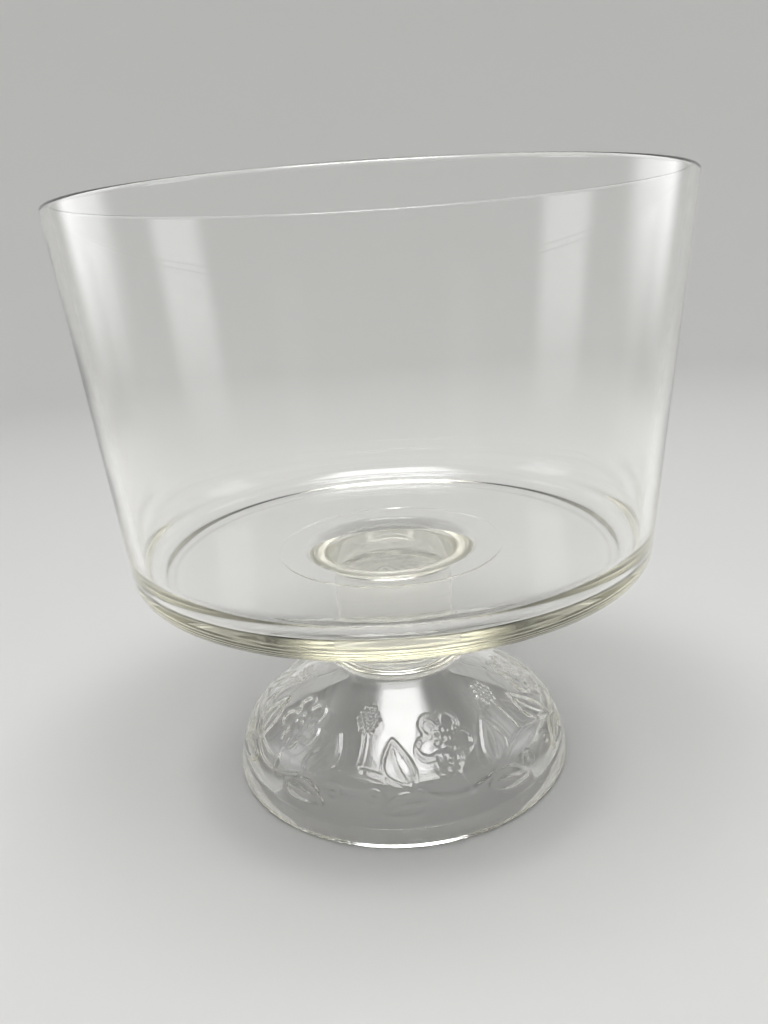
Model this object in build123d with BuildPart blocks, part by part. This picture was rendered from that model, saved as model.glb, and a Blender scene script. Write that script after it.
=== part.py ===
"""Footed trifle bowl of clear pressed glass: a straight-sided bowl, a short solid stem and a hollow domed foot.

Millimetres. The axis of the bowl is +Z, and the foot stands on the plane z = 0.
"""
import os
from math import cos, radians, tan

from build123d import *

# Bowl
rim_radius = 102.0
overall_height = 205.5
wall_flare = 4.55
rim_thickness = 2.8
rim_rounding = 1.34
wall_base_thickness = 4.0
floor_thickness = 5.8
floor_corner_radius = 12.0
heel_radius = 8.8
bowl_underside = 80.2

# Stem
stem_radius = 22.0
stem_flare_radius = 11.0
joint_disc_radius = 41.2
joint_disc_thickness = 0.5
joint_ring_radius = 24.1
joint_ring_height = 2.4
joint_ring_rounding = 1.1
stem_root_radius = 0.8

# Foot
foot_radius = 64.2
neck_height = 40.0
neck_land = 1.2
neck_rounding = 1.0
dome_slope = 34.0
side_lean = 4.0
standing_band = 1.8
foot_wall = 4.8
neck_roof_thickness = 3.1
roof_corner_radius = 4.0
standing_width = 3.4
standing_edge_rounding = 1.0
mouth_bevel = 4.8
mouth_height = 3.0
mouth_rounding = 1.0
hollow_lean = 10.0
hollow_corner_radius = 6.0


def run_out(start, lean, height):
    """Point at the given height on a section line through start, leaning lean degrees from the vertical."""
    return (start[0] + (height - start[1]) * tan(radians(lean)), height)


def corner(section, point):
    """The section's corner at the given point."""
    return section.vertices().sort_by_distance(point)[0]


def meeting_height(upper, upper_slope, lower, lower_lean):
    """Height in the section where a line falling outwards from upper meets one leaning inwards from lower."""
    fall = tan(radians(upper_slope))
    lean = tan(radians(lower_lean))
    reach = lower[0] + lower[1] * lean - upper[0] - upper[1] / fall
    return reach / (lean - 1 / fall)


# The bowl: a lathe section with a flat floor, a flaring wall and a fire-polished rim
outer_rim = (rim_radius, overall_height)
outer_heel = run_out(outer_rim, wall_flare, bowl_underside)
floor_height = bowl_underside + floor_thickness
inner_rim = (rim_radius - rim_thickness, overall_height)
inner_corner = (run_out(outer_rim, wall_flare, floor_height)[0] - wall_base_thickness, floor_height)

with BuildPart() as bowl:
    with BuildSketch(Plane.XZ) as bowl_section:
        with BuildLine():
            Polyline(
                (0, floor_height),
                inner_corner,
                inner_rim,
                outer_rim,
                outer_heel,
                (0, bowl_underside),
                close=True,
            )
        make_face()
        fillet(corner(bowl_section, inner_rim), rim_rounding)
        fillet(corner(bowl_section, outer_rim), rim_rounding)
        fillet(corner(bowl_section, inner_corner), floor_corner_radius)
        fillet(corner(bowl_section, outer_heel), heel_radius)
    revolve(axis=Axis.Z)
bowl.part.label = "bowl"

# The stem: a solid column that flares into a thin joint disc under the bowl and ends in a ring on the foot
disc_underside = bowl_underside - joint_disc_thickness
ring_top = (joint_ring_radius, neck_height + joint_ring_height)
stem_root = (stem_radius, ring_top[1])
stem_head = (stem_radius, disc_underside)

with BuildPart() as stem:
    with BuildSketch(Plane.XZ) as stem_section:
        with BuildLine():
            Polyline(
                (0, neck_height),
                (joint_ring_radius, neck_height),
                ring_top,
                stem_root,
                stem_head,
                (joint_disc_radius, disc_underside),
                (joint_disc_radius, bowl_underside),
                (0, bowl_underside),
                close=True,
            )
        make_face()
        fillet(corner(stem_section, ring_top), joint_ring_rounding)
        fillet(corner(stem_section, stem_root), stem_root_radius)
        fillet(corner(stem_section, stem_head), stem_flare_radius)
    revolve(axis=Axis.Z)
stem.part.label = "stem"

# The foot: a hollow dome whose slope turns down through a round shoulder to the standing ring, bevelled inside
neck_radius = joint_ring_radius + neck_land
neck_edge = (neck_radius, neck_height)
standing_edge = (foot_radius, 0)
shoulder = run_out(standing_edge, -side_lean, meeting_height(neck_edge, dome_slope, standing_edge, side_lean))
shoulder_run = (shoulder[1] - standing_band) / cos(radians(side_lean))
shoulder_turn = 90 - dome_slope - side_lean
shoulder_radius = shoulder_run / tan(radians(shoulder_turn / 2))

roof_height = neck_height - neck_roof_thickness
hollow_slope_start = (neck_radius, neck_height - foot_wall / cos(radians(dome_slope)))
standing_inner_edge = (foot_radius - standing_width, 0)
mouth = (standing_inner_edge[0] - mouth_bevel, mouth_height)
hollow_corner = run_out(mouth, -hollow_lean, meeting_height(hollow_slope_start, dome_slope, mouth, hollow_lean))
roof_edge = run_out(hollow_slope_start, dome_slope - 90, roof_height)

with BuildPart() as foot:
    with BuildSketch(Plane.XZ) as foot_section:
        with BuildLine():
            Polyline(
                (0, neck_height),
                neck_edge,
                shoulder,
                standing_edge,
                standing_inner_edge,
                mouth,
                hollow_corner,
                roof_edge,
                (0, roof_height),
                close=True,
            )
        make_face()
        fillet(corner(foot_section, neck_edge), neck_rounding)
        fillet(corner(foot_section, roof_edge), roof_corner_radius)
        fillet(corner(foot_section, shoulder), shoulder_radius)
        fillet(corner(foot_section, hollow_corner), hollow_corner_radius)
        fillet(corner(foot_section, standing_edge), standing_edge_rounding)
        fillet(corner(foot_section, standing_inner_edge), standing_edge_rounding)
        fillet(corner(foot_section, mouth), mouth_rounding)
    revolve(axis=Axis.Z)
foot.part.label = "foot"

os.makedirs("parts", exist_ok=True)
export_step(bowl.part, "parts/bowl.step")
export_step(stem.part, "parts/stem.step")
export_step(foot.part, "parts/foot.step")
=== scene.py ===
import math

import bpy
from mathutils import Matrix, Vector


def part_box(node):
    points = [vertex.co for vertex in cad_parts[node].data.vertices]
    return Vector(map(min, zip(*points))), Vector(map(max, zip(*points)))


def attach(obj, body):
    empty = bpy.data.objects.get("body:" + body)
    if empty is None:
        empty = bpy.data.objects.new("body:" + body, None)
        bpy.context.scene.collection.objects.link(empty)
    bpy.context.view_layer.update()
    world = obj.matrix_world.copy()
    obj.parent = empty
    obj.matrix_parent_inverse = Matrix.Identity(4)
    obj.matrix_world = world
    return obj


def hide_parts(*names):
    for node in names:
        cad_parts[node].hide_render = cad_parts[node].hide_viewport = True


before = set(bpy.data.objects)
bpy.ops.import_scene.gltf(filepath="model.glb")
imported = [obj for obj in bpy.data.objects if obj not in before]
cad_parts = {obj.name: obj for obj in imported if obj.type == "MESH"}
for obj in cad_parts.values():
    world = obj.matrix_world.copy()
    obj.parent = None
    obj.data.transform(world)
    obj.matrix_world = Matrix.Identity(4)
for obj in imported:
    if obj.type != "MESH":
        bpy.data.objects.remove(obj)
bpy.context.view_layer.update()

# Bowl
# The deep bowl is pressed from clear soda-lime glass.
# It has a flat floor, a thick round heel and a flaring wall with a rim that is fire-polished to a soft lip.
# Its underside is fused hot to the stem.
mm = 0.001
bowl_low, bowl_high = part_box("bowl")
rim_radius = 102.0 * mm
rim_thickness = 2.8 * mm
rim_rounding = 1.34 * mm
wall_flare = math.radians(4.55)
wall_base_thickness = 4.0 * mm
floor_thickness = 5.8 * mm
floor_corner_radius = 12.0 * mm
heel_radius = 8.8 * mm
bowl_steps_round = 256
bowl_corner_steps = 16
weld_distance = 0.002 * mm
crease_angle = math.radians(40)


def run_out(start, lean, height):
    """The point at a height on a section line through start that leans from the vertical."""
    return (start[0] + (height - start[1]) * math.tan(lean), height)


def section_line(name, corners):
    """A line in the XZ plane through (radius, height, rounding) corners, roundings kept as point radii."""
    curve = bpy.data.curves.new(name, "CURVE")
    curve.dimensions = "3D"
    spline = curve.splines.new("POLY")
    spline.points.add(len(corners) - 1)
    for point, (radius, height, rounding) in zip(spline.points, corners):
        point.co = (radius, 0, height, 1)
        point.radius = rounding
    line = bpy.data.objects.new(name, curve)
    bpy.context.scene.collection.objects.link(line)
    return line


def add_node(tree, kind, inputs=None, **properties):
    """Adds a node, sets its properties and fills its inputs with plain values or other nodes' outputs."""
    node = tree.nodes.new(kind)
    for name, value in properties.items():
        setattr(node, name, value)
    for key, value in (inputs or {}).items():
        if isinstance(value, bpy.types.NodeSocket):
            tree.links.new(value, node.inputs[key])
        else:
            node.inputs[key].default_value = value
    return node


def reckon(tree, operation, *terms):
    """A sum worked out by a Math node from numbers or from other nodes' outputs."""
    return add_node(tree, "ShaderNodeMath", dict(enumerate(terms)), operation=operation).outputs[0]


def parts_of(tree, vector):
    """The X, Y and Z of a vector."""
    return add_node(tree, "ShaderNodeSeparateXYZ", {"Vector": vector}).outputs


def new_tree(name, kind, inputs, outputs):
    """A node tree with named sockets, each given as (name, socket type), and its group input and output."""
    tree = bpy.data.node_groups.new(name, kind)
    for label, socket in inputs:
        tree.interface.new_socket(label, in_out="INPUT", socket_type=socket)
    for label, socket in outputs:
        tree.interface.new_socket(label, in_out="OUTPUT", socket_type=socket)
    return tree, tree.nodes.new("NodeGroupInput").outputs, tree.nodes.new("NodeGroupOutput").inputs


def turning_tree():
    """Turns a section line about the Z axis, as a lathe does."""
    tree, given, result = new_tree(
        "turned_section", "GeometryNodeTree",
        [("Section", "NodeSocketGeometry"), ("Steps Round", "NodeSocketInt"),
         ("Guide Radius", "NodeSocketFloat")],
        [("Mesh", "NodeSocketGeometry")])
    circle = add_node(tree, "GeometryNodeCurvePrimitiveCircle",
                      {"Resolution": given["Steps Round"], "Radius": given["Guide Radius"]})
    place = parts_of(tree, add_node(tree, "GeometryNodeInputPosition").outputs[0])
    profile = add_node(tree, "ShaderNodeCombineXYZ",
                       {"X": reckon(tree, "SUBTRACT", place["X"], given["Guide Radius"]),
                        "Y": reckon(tree, "MULTIPLY", place["Z"], -1.0)})
    laid = add_node(tree, "GeometryNodeSetPosition",
                    {"Geometry": given["Section"], "Position": profile.outputs[0]})
    swept = add_node(tree, "GeometryNodeCurveToMesh",
                     {"Curve": circle.outputs["Curve"], "Profile Curve": laid.outputs[0], "Fill Caps": False})
    tree.links.new(swept.outputs[0], result["Mesh"])
    return tree


turned_section = turning_tree()


def turned(tree, given, line):
    """The line, turned with the steps and the guide circle that the tree was given."""
    return add_node(tree, "GeometryNodeGroup",
                    {"Section": line, "Steps Round": given["Steps Round"],
                     "Guide Radius": given["Guide Radius"]}, node_tree=turned_section).outputs[0]


def rounded(tree, section, corner_steps):
    """The section object's line, with its corners rounded by each point's own radius."""
    info = add_node(tree, "GeometryNodeObjectInfo", {"Object": section})
    radius = add_node(tree, "GeometryNodeInputRadius")
    return add_node(tree, "GeometryNodeFilletCurve",
                    {"Curve": info.outputs["Geometry"], "Count": corner_steps, "Radius": radius.outputs[0],
                     "Limit Radius": False}, mode="POLY").outputs[0]


def finished(tree, given, geometry):
    """Welds a turned shape, shades it smooth up to its creases and gives it its material."""
    welded = add_node(tree, "GeometryNodeMergeByDistance", {"Geometry": geometry, "Distance": given["Weld"]})
    smooth = add_node(tree, "GeometryNodeSetShadeSmooth", {"Geometry": welded.outputs[0]}, domain="FACE")
    bend = add_node(tree, "GeometryNodeInputMeshEdgeAngle")
    sharp = add_node(tree, "FunctionNodeCompare", {0: bend.outputs["Unsigned Angle"], 1: given["Crease"]},
                     data_type="FLOAT", operation="GREATER_THAN")
    creased = add_node(tree, "GeometryNodeSetShadeSmooth",
                       {"Geometry": smooth.outputs[0], "Selection": sharp.outputs[0], "Shade Smooth": False},
                       domain="EDGE")
    real = add_node(tree, "GeometryNodeRealizeInstances", {"Geometry": creased.outputs[0]})
    return add_node(tree, "GeometryNodeSetMaterial",
                    {"Geometry": real.outputs[0], "Material": given["Material"]}).outputs[0]


def turned_piece_tree():
    """A whole piece turned from one section line."""
    tree, given, result = new_tree(
        "turned_piece", "GeometryNodeTree",
        [("Section", "NodeSocketObject"), ("Steps Round", "NodeSocketInt"), ("Corner Steps", "NodeSocketInt"),
         ("Guide Radius", "NodeSocketFloat"), ("Weld", "NodeSocketFloat"), ("Crease", "NodeSocketFloat"),
         ("Material", "NodeSocketMaterial")],
        [("Mesh", "NodeSocketGeometry")])
    whole = turned(tree, given, rounded(tree, given["Section"], given["Corner Steps"]))
    tree.links.new(finished(tree, given, whole), result["Mesh"])
    return tree


turned_piece = turned_piece_tree()


def grow(name, tree, values):
    """Runs a geometry tree with its named values and keeps what it makes as one plain mesh object."""
    host = bpy.data.objects.new(name, bpy.data.meshes.new(name + "_blank"))
    bpy.context.scene.collection.objects.link(host)
    modifier = host.modifiers.new("grow", "NODES")
    modifier.node_group = tree
    for socket in tree.interface.items_tree:
        if socket.in_out == "INPUT":
            modifier[socket.identifier] = values[socket.name]
    weights = host.modifiers.new("weights", "WEIGHTED_NORMAL")
    weights.keep_sharp = True
    mesh = bpy.data.meshes.new_from_object(host.evaluated_get(bpy.context.evaluated_depsgraph_get()))
    mesh.name = name
    host.modifiers.clear()
    host.data = mesh
    for value in values.values():
        if isinstance(value, bpy.types.Object):
            bpy.data.objects.remove(value)
    return host


ripple_detail = 1.0
ripple_contrast = 0.4
scratch_lays = ((0.4, 16.0), (1.5, 22.0), (2.5, 19.0))
scratch_detail = 2.0
scratch_edge = (0.70, 0.76)


def glass_skin():
    """The skin of pressed glass: slow ripples from the mould, and hair scratches where things were set."""
    tree, given, result = new_tree(
        "glass_skin", "ShaderNodeTree",
        [(name, "NodeSocketFloat") for name in (
            "Ripple Size", "Ripple Depth", "Scratch Spacing", "Scratch Low", "Scratch High",
            "Scratch Roughness")],
        [("Height", "NodeSocketFloat"), ("Roughness", "NodeSocketFloat")])
    place = add_node(tree, "ShaderNodeTexCoord").outputs["Object"]
    ripple = add_node(tree, "ShaderNodeTexNoise",
                      {"Vector": place, "Scale": reckon(tree, "DIVIDE", 1.0, given["Ripple Size"]),
                       "Detail": ripple_detail, "Roughness": ripple_contrast}).outputs["Fac"]
    tree.links.new(reckon(tree, "MULTIPLY", ripple, given["Ripple Depth"]), result["Height"])
    spacing = reckon(tree, "DIVIDE", 1.0, given["Scratch Spacing"])
    lines = 0.0
    for turn, squash in scratch_lays:
        lay = add_node(tree, "ShaderNodeMapping",
                       {"Vector": place, "Rotation": (0.0, 0.0, turn),
                        "Scale": (1.0, squash, 1.0)}).outputs[0]
        grain = add_node(tree, "ShaderNodeTexNoise",
                         {"Vector": lay, "Scale": spacing, "Detail": scratch_detail}).outputs["Fac"]
        line = add_node(tree, "ShaderNodeMapRange",
                        {"Value": grain, "From Min": scratch_edge[0], "From Max": scratch_edge[1]}).outputs[0]
        lines = reckon(tree, "MAXIMUM", lines, line)
    level = parts_of(tree, place)["Z"]
    band = reckon(tree, "MULTIPLY", reckon(tree, "GREATER_THAN", level, given["Scratch Low"]),
                  reckon(tree, "LESS_THAN", level, given["Scratch High"]))
    shown = reckon(tree, "MULTIPLY", lines, band)
    tree.links.new(reckon(tree, "MULTIPLY", shown, given["Scratch Roughness"]), result["Roughness"])
    return tree


glass_skin_group = glass_skin()
glass_ior = 1.52
straw_tint = (0.80, 0.78, 0.60, 1.0)
straw_density = 6.5


def clear_glass(name, skin_values):
    """Clear soda-lime glass with a faint straw tint that shows where it is thick, under its own skin."""
    material = bpy.data.materials.new(name)
    material.use_nodes = True
    tree = material.node_tree
    shader = tree.nodes["Principled BSDF"]
    shader.inputs["Base Color"].default_value = (1.0, 1.0, 1.0, 1.0)
    shader.inputs["Metallic"].default_value = 0.0
    shader.inputs["IOR"].default_value = glass_ior
    shader.inputs["Transmission Weight"].default_value = 1.0
    skin = add_node(tree, "ShaderNodeGroup", skin_values, node_tree=glass_skin_group)
    bump = add_node(tree, "ShaderNodeBump",
                    {"Height": skin.outputs["Height"], "Strength": 1.0, "Distance": 1.0})
    tree.links.new(bump.outputs[0], shader.inputs["Normal"])
    tree.links.new(skin.outputs["Roughness"], shader.inputs["Roughness"])
    tint = add_node(tree, "ShaderNodeVolumeAbsorption", {"Color": straw_tint, "Density": straw_density})
    tree.links.new(tint.outputs[0], tree.nodes["Material Output"].inputs["Volume"])
    return material


bowl_underside = bowl_low[2]
bowl_floor = bowl_underside + floor_thickness
outer_rim = (rim_radius, bowl_high[2])
outer_heel = run_out(outer_rim, wall_flare, bowl_underside)
inner_rim = (rim_radius - rim_thickness, bowl_high[2])
inner_corner = (run_out(outer_rim, wall_flare, bowl_floor)[0] - wall_base_thickness, bowl_floor)
bowl_glass = clear_glass("bowl_glass", {
    "Ripple Size": 28.0 * mm, "Ripple Depth": 0.035 * mm, "Scratch Spacing": 7.0 * mm,
    "Scratch Low": bowl_floor - 1.0 * mm, "Scratch High": bowl_floor + 0.5 * mm, "Scratch Roughness": 0.12})
bowl_section = section_line("bowl_section", [
    (0, bowl_floor, 0), (*inner_corner, floor_corner_radius), (*inner_rim, rim_rounding),
    (*outer_rim, rim_rounding), (*outer_heel, heel_radius), (0, bowl_underside, 0)])
bowl = grow("glass_bowl", turned_piece, {
    "Section": bowl_section, "Steps Round": bowl_steps_round, "Corner Steps": bowl_corner_steps,
    "Guide Radius": rim_radius, "Weld": weld_distance, "Crease": crease_angle, "Material": bowl_glass})
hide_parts("bowl")
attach(bowl, "root")

# Stem
# The stem is a short solid column of the same glass, joined hot to the bowl and the foot.
# It flares into a thin disc that is fused under the bowl.
# A rolled ring at its root covers the joint on the foot.
stem_low, stem_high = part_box("stem")
stem_radius = 22.0 * mm
stem_flare_radius = 11.0 * mm
joint_disc_radius = stem_high[0]
joint_disc_thickness = 0.5 * mm
joint_ring_radius = 24.1 * mm
joint_ring_height = 2.4 * mm
joint_ring_rounding = 1.1 * mm
stem_root_radius = 0.8 * mm
fused_depth = 0.1 * mm
stem_steps_round = 224
stem_corner_steps = 14

stem_glass = clear_glass("stem_glass", {
    "Ripple Size": 14.0 * mm, "Ripple Depth": 0.03 * mm, "Scratch Spacing": 7.0 * mm,
    "Scratch Low": 0.0, "Scratch High": 0.0, "Scratch Roughness": 0.0})
ring_top = stem_low[2] + joint_ring_height
disc_underside = stem_high[2] - joint_disc_thickness
stem_head = stem_high[2] + fused_depth
stem_base = stem_low[2] - fused_depth
stem_section = section_line("stem_section", [
    (0, stem_head, 0), (joint_disc_radius, stem_head, 0), (joint_disc_radius, disc_underside, 0),
    (stem_radius, disc_underside, stem_flare_radius), (stem_radius, ring_top, stem_root_radius),
    (joint_ring_radius, ring_top, joint_ring_rounding), (joint_ring_radius, stem_base, 0), (0, stem_base, 0)])
stem = grow("glass_stem", turned_piece, {
    "Section": stem_section, "Steps Round": stem_steps_round, "Corner Steps": stem_corner_steps,
    "Guide Radius": stem_radius, "Weld": weld_distance, "Crease": crease_angle, "Material": stem_glass})
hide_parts("stem")
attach(stem, "root")

# Foot
# The foot is a hollow dome, pressed in a mould that was cut with a garland of flowers, leaves and berries.
# Its lower edge is left smooth, and inside it is bevelled down to a narrow standing ring.
foot_low, foot_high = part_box("foot")
neck_height = foot_high[2]
foot_radius = 64.2 * mm
neck_land = 1.2 * mm
neck_rounding = 1.0 * mm
dome_slope = math.radians(34)
side_lean = math.radians(4)
standing_band = 1.8 * mm
foot_wall = 4.8 * mm
neck_roof_thickness = 3.1 * mm
roof_corner_radius = 4.0 * mm
standing_width = 3.4 * mm
standing_edge_rounding = 1.0 * mm
mouth_bevel = 4.8 * mm
mouth_height = 3.0 * mm
mouth_rounding = 1.0 * mm
hollow_lean = math.radians(10)
hollow_corner_radius = 6.0 * mm
dome_start = 2.0 * mm
dome_end_height = 1.4 * mm
foot_steps_round = 704
foot_row_gap = 0.47 * mm
foot_band_row_gap = 1.5 * mm
foot_corner_steps = 4
foot_shoulder_steps = 48


def meeting_height(upper, upper_slope, lower, lower_lean):
    """Height in the section where a line falling outwards from upper meets one leaning inwards from lower."""
    fall = math.tan(upper_slope)
    lean = math.tan(lower_lean)
    return (lower[0] + lower[1] * lean - upper[0] - upper[1] / fall) / (lean - 1 / fall)


neck_radius = joint_ring_radius + neck_land
neck_edge = (neck_radius, neck_height)
standing_edge = (foot_radius, foot_low[2])
standing_inner_edge = (foot_radius - standing_width, foot_low[2])
shoulder_height = meeting_height(neck_edge, dome_slope, standing_edge, side_lean)
shoulder = run_out(standing_edge, -side_lean, shoulder_height)
shoulder_run = (shoulder_height - standing_band) / math.cos(side_lean)
shoulder_radius = shoulder_run / math.tan((math.pi / 2 - dome_slope - side_lean) / 2)
roof_height = neck_height - neck_roof_thickness
hollow_start = (neck_radius, neck_height - foot_wall / math.cos(dome_slope))
mouth = (standing_inner_edge[0] - mouth_bevel, mouth_height)
hollow_corner = run_out(mouth, -hollow_lean, meeting_height(hollow_start, dome_slope, mouth, hollow_lean))
roof_edge = run_out(hollow_start, dome_slope - math.pi / 2, roof_height)
dome_top = run_out(neck_edge, dome_slope - math.pi / 2, neck_height - dome_start * math.sin(dome_slope))
dome_end = run_out(standing_edge, -side_lean, dome_end_height)

# The garland is drawn flat, as distances round the dome and down it from its top, and then laid on the dome.
garland_repeats = 5
garland_turn = math.radians(-72)
garland_radius = 47.0 * mm
garland_end = 49.0 * mm
garland_point_gap = 0.4 * mm
line_half_width = 1.2 * mm
line_height = 0.7 * mm
vine_row = 36.0 * mm
vine_swing = 5.0 * mm
vine_steps = 24
vine_width = 0.85
stalk_width = 0.8
flower_row = 21.5 * mm
flower_radius = 10.6 * mm
flower_petals = 5
flower_turn = math.radians(-90)
flower_stalk_start = 0.66
flower_stalk_bend = (0.8 * mm, 35.5 * mm)
flower_stalk_shift = 3.0 * mm
petal_steps = 14
petal_root = 0.52
petal_fullness = 0.6
flower_eye = 1.2 * mm
flower_bead = 1.0 * mm
flower_bead_ring = 0.3
upright_leaf = ((13.0 * mm, 36.5 * mm), (19.0 * mm, 19.5 * mm))
upright_leaf_width = 9.0 * mm
upright_leaf_bow = 1.6 * mm
trailing_leaf = ((8.0 * mm, 41.5 * mm), (22.0 * mm, 44.5 * mm))
trailing_leaf_width = 7.0 * mm
trailing_leaf_bow = -1.0 * mm
leaf_steps = 10
leaf_belly = 0.8
leaf_fullness = 0.9
leaf_edge_width = 0.9
thin_line_width = 0.65
curl_centre = (24.0 * mm, 40.0 * mm)
curl_radius = 3.2 * mm
curl_tightening = 0.17 * mm
curl_turn = 0.55
curl_points = 16
berry_row = 12.5 * mm
berry_longest_row = 5
berry_rows = 3
berry_bead = 1.2 * mm
berry_stalk_start = 6.0 * mm
berry_stalk_bend = (0.8 * mm, 25.0 * mm)
bead_pitch = 1.9
bead_row_pitch = 1.65
bead_line = 0.1 * mm
garland = bpy.data.curves.new("garland", "CURVE")
garland.dimensions = "3D"


def raised_line(points, width=1.0, closed=False):
    """A raised line of the garland through (distance round, distance down) points."""
    spline = garland.splines.new("NURBS")
    spline.points.add(len(points) - 1)
    for point, (along, down) in zip(spline.points, points):
        point.co = (along, down, 0, 1)
        point.radius = width * line_half_width
    spline.use_cyclic_u = closed
    spline.order_u = 3
    spline.use_endpoint_u = not closed


def circle_of(centre, radius, count, start, shape=lambda turn: 1.0):
    """Points round a centre, at a radius that the shape function may change."""
    turns = [start + 2 * math.pi * k / count for k in range(count)]
    return [(centre[0] + radius * shape(turn) * math.cos(turn),
             centre[1] + radius * shape(turn) * math.sin(turn)) for turn in turns]


def raised_bead(place, radius):
    """A round bead, as a line too short to see."""
    along, down = place
    raised_line([(along - bead_line, down), (along + bead_line, down)], radius / line_half_width)


def flower(centre, radius, petals, start):
    """A flower with round petals and a beaded eye."""
    def petal(turn):
        return petal_root + (1 - petal_root) * abs(math.sin(petals * (turn - start) / 2)) ** petal_fullness

    raised_line(circle_of(centre, radius, petals * petal_steps, start, petal), closed=True)
    raised_bead(centre, flower_eye)
    for place in circle_of(centre, flower_bead_ring * radius, petals, start + math.pi / petals):
        raised_bead(place, flower_bead)


def leaf(base, tip, width, bow):
    """A pointed leaf with a bowed midrib, from its stalk end to its tip."""
    length = math.dist(base, tip)
    ahead = ((tip[0] - base[0]) / length, (tip[1] - base[1]) / length)

    def laid(share, across):
        along = length * share
        across += bow * math.sin(math.pi * share)
        return (base[0] + along * ahead[0] - across * ahead[1],
                base[1] + along * ahead[1] + across * ahead[0])

    shares = [k / leaf_steps for k in range(leaf_steps + 1)]
    spread = [width / 2 * math.sin(math.pi * share ** leaf_belly) ** leaf_fullness for share in shares]
    one_side = [laid(share, half) for share, half in zip(shares, spread)]
    other_side = [laid(share, -half) for share, half in zip(shares, spread)]
    raised_line(one_side + other_side[-2:0:-1], leaf_edge_width, closed=True)
    raised_line([laid(share, 0) for share in shares[1:-2]], thin_line_width)


def curl(side):
    """A tendril that winds inwards."""
    radii = [curl_radius - curl_tightening * k for k in range(curl_points)]
    raised_line([(side * (curl_centre[0] - radius * math.cos(curl_turn * k)),
                  curl_centre[1] - radius * math.sin(curl_turn * k)) for k, radius in enumerate(radii)],
                thin_line_width)


def berry(centre, longest_row, rows, bead):
    """An oval berry of close-set beads, with one bead fewer in each row away from its middle."""
    for row in range(1 - rows, rows):
        count = longest_row - abs(row)
        for k in range(count):
            raised_bead((centre[0] + (k - (count - 1) / 2) * bead_pitch * bead,
                         centre[1] + row * bead_row_pitch * bead), bead)


sector = 2 * math.pi * garland_radius / garland_repeats
vine_shares = [k / vine_steps - 0.5 for k in range(vine_steps + 1)]
raised_line([(sector * share, vine_row + vine_swing * math.cos(2 * math.pi * share))
             for share in vine_shares], vine_width)
flower((0, flower_row), flower_radius, flower_petals, flower_turn)
raised_line([(0, flower_row + flower_stalk_start * flower_radius), flower_stalk_bend,
             (flower_stalk_shift, vine_row + vine_swing)], stalk_width)
for side in (-1, 1):
    for (base, tip), width, bow in ((upright_leaf, upright_leaf_width, upright_leaf_bow),
                                    (trailing_leaf, trailing_leaf_width, trailing_leaf_bow)):
        leaf((side * base[0], base[1]), (side * tip[0], tip[1]), width, side * bow)
    curl(side)
berry((sector / 2, berry_row), berry_longest_row, berry_rows, berry_bead)
raised_line([(sector / 2, berry_row + berry_stalk_start),
             (sector / 2 + berry_stalk_bend[0], berry_stalk_bend[1]),
             (sector / 2, vine_row - vine_swing)], stalk_width)
garland_lines = bpy.data.objects.new("garland_lines", garland)
bpy.context.scene.collection.objects.link(garland_lines)


def eased(tree, value, none_at, all_at):
    """A soft step that is 0 where the value is none_at and 1 where it is all_at."""
    return add_node(tree, "ShaderNodeMapRange", {"Value": value, "From Min": none_at, "From Max": all_at},
                    interpolation_type="SMOOTHSTEP").outputs[0]


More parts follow.
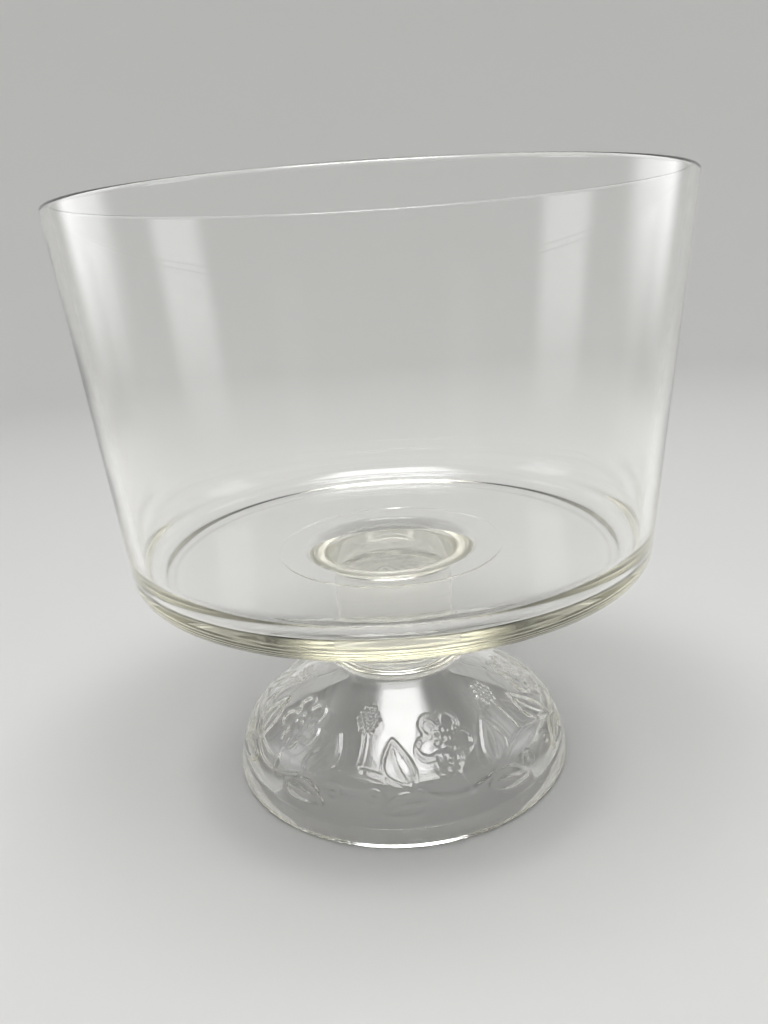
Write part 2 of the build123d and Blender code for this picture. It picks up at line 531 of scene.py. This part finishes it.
def embossed_foot_tree():
    """The foot: a dome turned in fine rows and raised along the garland, closed by its neck and hollow."""
    tree, given, result = new_tree(
        "embossed_foot", "GeometryNodeTree",
        [(name, "NodeSocketObject") for name in ("Neck", "Dome", "Hollow", "Garland")]
        + [(name, "NodeSocketInt") for name in ("Repeats", "Steps Round", "Corner Steps", "Shoulder Steps")]
        + [(name, "NodeSocketFloat") for name in (
            "Turn", "Garland Radius", "Garland End", "Point Gap", "Line Half Width", "Line Height", "Row Gap",
            "Band Row Gap", "Guide Radius", "Weld", "Crease")]
        + [("Material", "NodeSocketMaterial")],
        [("Mesh", "NodeSocketGeometry")])

    # The dome is cut in two: close rows that carry the garland, and the plain band under them.
    smooth_line = rounded(tree, given["Dome"], given["Shoulder Steps"])
    line_end = add_node(tree, "GeometryNodeCurveLength", {"Curve": smooth_line}).outputs[0]

    def rows_between(start, end, gap):
        # Inputs 4 and 5 are the start and the end as lengths.
        piece = add_node(tree, "GeometryNodeTrimCurve", {0: smooth_line, 4: start, 5: end}, mode="LENGTH")
        return add_node(tree, "GeometryNodeResampleCurve", {"Curve": piece.outputs[0], "Length": gap},
                        mode="LENGTH").outputs[0]

    dome = turned(tree, given, rows_between(0.0, given["Garland End"], given["Row Gap"]))
    band = turned(tree, given, rows_between(given["Garland End"], line_end, given["Band Row Gap"]))

    # The flat garland is dotted, repeated and laid on the dome, and each dot keeps its line's half width.
    flat = add_node(tree, "GeometryNodeObjectInfo", {"Object": given["Garland"]}).outputs["Geometry"]
    dotted = add_node(tree, "GeometryNodeResampleCurve", {"Curve": flat, "Length": given["Point Gap"]},
                      mode="LENGTH")
    copies = add_node(tree, "GeometryNodeDuplicateElements",
                      {"Geometry": dotted.outputs[0], "Amount": given["Repeats"]}, domain="SPLINE")
    place = parts_of(tree, add_node(tree, "GeometryNodeInputPosition").outputs[0])
    on_line = add_node(tree, "GeometryNodeSampleCurve", {"Curves": smooth_line, "Length": place["Y"]},
                       mode="LENGTH", use_all_curves=True)
    share = reckon(tree, "DIVIDE", copies.outputs["Duplicate Index"], given["Repeats"])
    angle = reckon(tree, "ADD", reckon(tree, "DIVIDE", place["X"], given["Garland Radius"]),
                   reckon(tree, "MULTIPLY_ADD", share, 2 * math.pi, given["Turn"]))
    swung = add_node(tree, "ShaderNodeVectorRotate", {"Vector": on_line.outputs["Position"], "Angle": angle},
                     rotation_type="Z_AXIS")
    laid = add_node(tree, "GeometryNodeSetPosition",
                    {"Geometry": copies.outputs[0], "Position": swung.outputs[0]})
    width = add_node(tree, "GeometryNodeInputRadius")
    kept = add_node(tree, "GeometryNodeStoreNamedAttribute",
                    {"Geometry": laid.outputs[0], "Name": "half_width", "Value": width.outputs[0]},
                    data_type="FLOAT", domain="POINT")
    wires = add_node(tree, "GeometryNodeCurveToMesh", {"Curve": kept.outputs[0]}).outputs[0]

    # The dome rises to a soft ridge along each line, and a bolder line stands higher.
    near = add_node(tree, "GeometryNodeProximity", {"Target": wires},
                    target_element="EDGES").outputs["Distance"]
    nearest = add_node(tree, "GeometryNodeSampleNearest", {"Geometry": wires}, domain="POINT").outputs[0]
    stored = add_node(tree, "GeometryNodeInputNamedAttribute", {"Name": "half_width"},
                      data_type="FLOAT").outputs[0]
    reach = add_node(tree, "GeometryNodeSampleIndex", {"Geometry": wires, "Value": stored, "Index": nearest},
                     data_type="FLOAT", domain="POINT").outputs[0]
    ridge = eased(tree, reckon(tree, "DIVIDE", near, reach), 1.0, 0.0)
    boldness = reckon(tree, "DIVIDE", reach, given["Line Half Width"])
    softened = add_node(tree, "GeometryNodeBlurAttribute",
                        {"Value": reckon(tree, "MULTIPLY", ridge, boldness), "Iterations": 1},
                        data_type="FLOAT").outputs[0]
    height = reckon(tree, "MULTIPLY", softened, given["Line Height"])
    outwards = add_node(tree, "GeometryNodeInputNormal").outputs[0]
    lift = add_node(tree, "ShaderNodeVectorMath", {0: outwards, "Scale": height}, operation="SCALE")
    embossed = add_node(tree, "GeometryNodeSetPosition",
                        {"Geometry": dome, "Offset": lift.outputs[0]}).outputs[0]

    neck = turned(tree, given, rounded(tree, given["Neck"], given["Corner Steps"]))
    hollow = turned(tree, given, rounded(tree, given["Hollow"], given["Corner Steps"]))
    joined = add_node(tree, "GeometryNodeJoinGeometry")
    for part in (embossed, band, neck, hollow):
        tree.links.new(part, joined.inputs[0])
    tree.links.new(finished(tree, given, joined.outputs[0]), result["Mesh"])
    return tree


foot_glass = clear_glass("foot_glass", {
    "Ripple Size": 16.0 * mm, "Ripple Depth": 0.03 * mm, "Scratch Spacing": 3.0 * mm,
    "Scratch Low": -1.0 * mm, "Scratch High": 0.4 * mm, "Scratch Roughness": 0.35})
neck_section = section_line("neck_section", [
    (0, neck_height, 0), (*neck_edge, neck_rounding), (*dome_top, 0)])
dome_section = section_line("dome_section", [
    (*dome_top, 0), (*shoulder, shoulder_radius), (*dome_end, 0)])
hollow_section = section_line("hollow_section", [
    (*dome_end, 0), (*standing_edge, standing_edge_rounding), (*standing_inner_edge, standing_edge_rounding),
    (*mouth, mouth_rounding), (*hollow_corner, hollow_corner_radius), (*roof_edge, roof_corner_radius),
    (0, roof_height, 0)])
foot = grow("glass_foot", embossed_foot_tree(), {
    "Neck": neck_section, "Dome": dome_section, "Hollow": hollow_section, "Garland": garland_lines,
    "Repeats": garland_repeats, "Turn": garland_turn, "Garland Radius": garland_radius,
    "Garland End": garland_end, "Point Gap": garland_point_gap, "Line Half Width": line_half_width,
    "Line Height": line_height, "Row Gap": foot_row_gap, "Band Row Gap": foot_band_row_gap,
    "Steps Round": foot_steps_round, "Corner Steps": foot_corner_steps, "Shoulder Steps": foot_shoulder_steps,
    "Guide Radius": foot_radius, "Weld": weld_distance, "Crease": crease_angle, "Material": foot_glass})
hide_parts("foot")
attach(foot, "root")

# Studio floor
# A pale seamless sheet of paper lies flat under the bowl.
# It sweeps up all round, as in a light tent, so that the bowl stands before the same paper from every side.
floor_drop = 0.1 * mm
floor_radius = 1.8
sweep_radius = 0.7
sweep_top = 2.4
sweep_steps = 24
floor_steps_round = 96
floor_colour = (0.72, 0.72, 0.71, 1.0)
floor_material = bpy.data.materials.new("pale_paper")
floor_material.use_nodes = True
paper = floor_material.node_tree.nodes["Principled BSDF"]
paper.inputs["Base Color"].default_value = floor_colour
paper.inputs["Roughness"].default_value = 0.9
paper.inputs["Specular IOR Level"].default_value = 0.2
floor_section = section_line("floor_section", [
    (0, -floor_drop, 0), (floor_radius, -floor_drop, sweep_radius), (floor_radius, sweep_top, 0)])
studio_floor = grow("studio_floor", turned_piece, {
    "Section": floor_section, "Steps Round": floor_steps_round, "Corner Steps": sweep_steps,
    "Guide Radius": floor_radius, "Weld": weld_distance, "Crease": crease_angle, "Material": floor_material})

# Studio light
# One wide soft box overhead lights the bowl and the paper, and dims towards its edges as a lit cloth does.
# An upright strip on each side is there to be mirrored in the glass.
scene = bpy.context.scene
bowl_middle = (0, 0, 0.12)
top_place = (0, -0.2, 1.9)
top_size = (1.5, 1.1)
top_power = 58.0
top_fade = 0.3
strip_place = (0.6, 0.1, 0.38)
strip_size = (0.4, 0.7)
strip_strength = 2.5
strip_core = 0.4
surround_colour = (0.06, 0.06, 0.06, 1.0)
glass_bounces = 32

lamp = bpy.data.lights.new("soft_box_top", "AREA")
lamp.shape = "RECTANGLE"
lamp.size, lamp.size_y = top_size
lamp.energy = top_power
lamp.use_nodes = True
lamp_tree = lamp.node_tree
lamp_face = parts_of(lamp_tree, add_node(lamp_tree, "ShaderNodeNewGeometry").outputs["Parametric"])
glow = 1.0
for across in (lamp_face["X"], lamp_face["Y"]):
    inset = reckon(lamp_tree, "MINIMUM", across, reckon(lamp_tree, "SUBTRACT", 1.0, across))
    glow = reckon(lamp_tree, "MULTIPLY", glow, eased(lamp_tree, inset, 0.0, top_fade))
lamp_tree.links.new(glow, lamp_tree.nodes["Emission"].inputs["Strength"])
soft_box = bpy.data.objects.new("soft_box_top", lamp)
soft_box.location = top_place
soft_box.rotation_euler = (Vector(bowl_middle) - Vector(top_place)).to_track_quat("-Z", "Y").to_euler()
scene.collection.objects.link(soft_box)


def strip_panel(name, place):
    """An upright glowing cloth that faces the bowl and shows only where the glass mirrors it.

    Any other ray passes it, so it neither lights the floor nor stands in view, past the glass or through it.
    """
    material = bpy.data.materials.new(name)
    material.use_nodes = True
    tree = material.node_tree
    tree.nodes.remove(tree.nodes["Principled BSDF"])
    face = parts_of(tree, add_node(tree, "ShaderNodeTexCoord").outputs["Object"])
    half_sizes = [side / 2 for side in strip_size]
    shown = reckon(tree, "GREATER_THAN", add_node(tree, "ShaderNodeLightPath").outputs["Glossy Depth"], 0.5)
    for across, half in zip((face["X"], face["Y"]), half_sizes):
        fade = eased(tree, reckon(tree, "ABSOLUTE", across), half, strip_core * half)
        shown = reckon(tree, "MULTIPLY", shown, fade)
    cloth = add_node(tree, "ShaderNodeEmission", {"Strength": strip_strength}).outputs[0]
    clear = add_node(tree, "ShaderNodeBsdfTransparent").outputs[0]
    mixed = add_node(tree, "ShaderNodeMixShader", {0: shown, 1: clear, 2: cloth}).outputs[0]
    tree.links.new(mixed, tree.nodes["Material Output"].inputs["Surface"])
    material.cycles.emission_sampling = "NONE"
    mesh = bpy.data.meshes.new(name)
    corners = [(x * half_sizes[0], y * half_sizes[1], 0) for x, y in ((-1, -1), (1, -1), (1, 1), (-1, 1))]
    mesh.from_pydata(corners, [], [(0, 1, 2, 3)])
    mesh.materials.append(material)
    panel = bpy.data.objects.new(name, mesh)
    panel.location = place
    panel.rotation_euler = Vector((-place[0], -place[1], 0)).to_track_quat("Z", "Y").to_euler()
    scene.collection.objects.link(panel)


for name, side in (("strip_left", -1), ("strip_right", 1)):
    strip_panel(name, (side * strip_place[0], strip_place[1], strip_place[2]))
world = bpy.data.worlds.new("studio_surround")
world.use_nodes = True
world.node_tree.nodes["Background"].inputs["Color"].default_value = surround_colour
scene.world = world
scene.view_settings.view_transform = "Standard"
scene.cycles.max_bounces = glass_bounces
scene.cycles.glossy_bounces = glass_bounces
scene.cycles.transmission_bounces = glass_bounces

# Camera
# A phone held close, a little below the rim and tipped down towards the bowl.
# It is turned a touch to the left and rolled, so the rim runs up to the right.
frame_height = 1024
sensor_side = 36.0
focal_pixels = 813.404
camera_distance = 286.217 * mm
camera_height = 185.413 * mm
pitch = 0.3020
yaw = -0.0065
roll = -0.0642
lens = bpy.data.cameras.new("camera")
lens.sensor_fit = "AUTO"
lens.sensor_width = sensor_side
lens.lens = focal_pixels / frame_height * sensor_side
lens.clip_start = 10.0 * mm
ahead = Vector((math.sin(yaw) * math.cos(pitch), math.cos(yaw) * math.cos(pitch), -math.sin(pitch)))
right = Vector((math.cos(yaw), -math.sin(yaw), 0.0))
up = right.cross(ahead)
right_rolled = math.cos(roll) * right + math.sin(roll) * up
up_rolled = math.cos(roll) * up - math.sin(roll) * right
camera = bpy.data.objects.new("camera", lens)
facing = Matrix((right_rolled, up_rolled, -ahead)).transposed()
camera.matrix_world = Matrix.Translation((0, -camera_distance, camera_height)) @ facing.to_4x4()
scene.collection.objects.link(camera)
scene.camera = camera
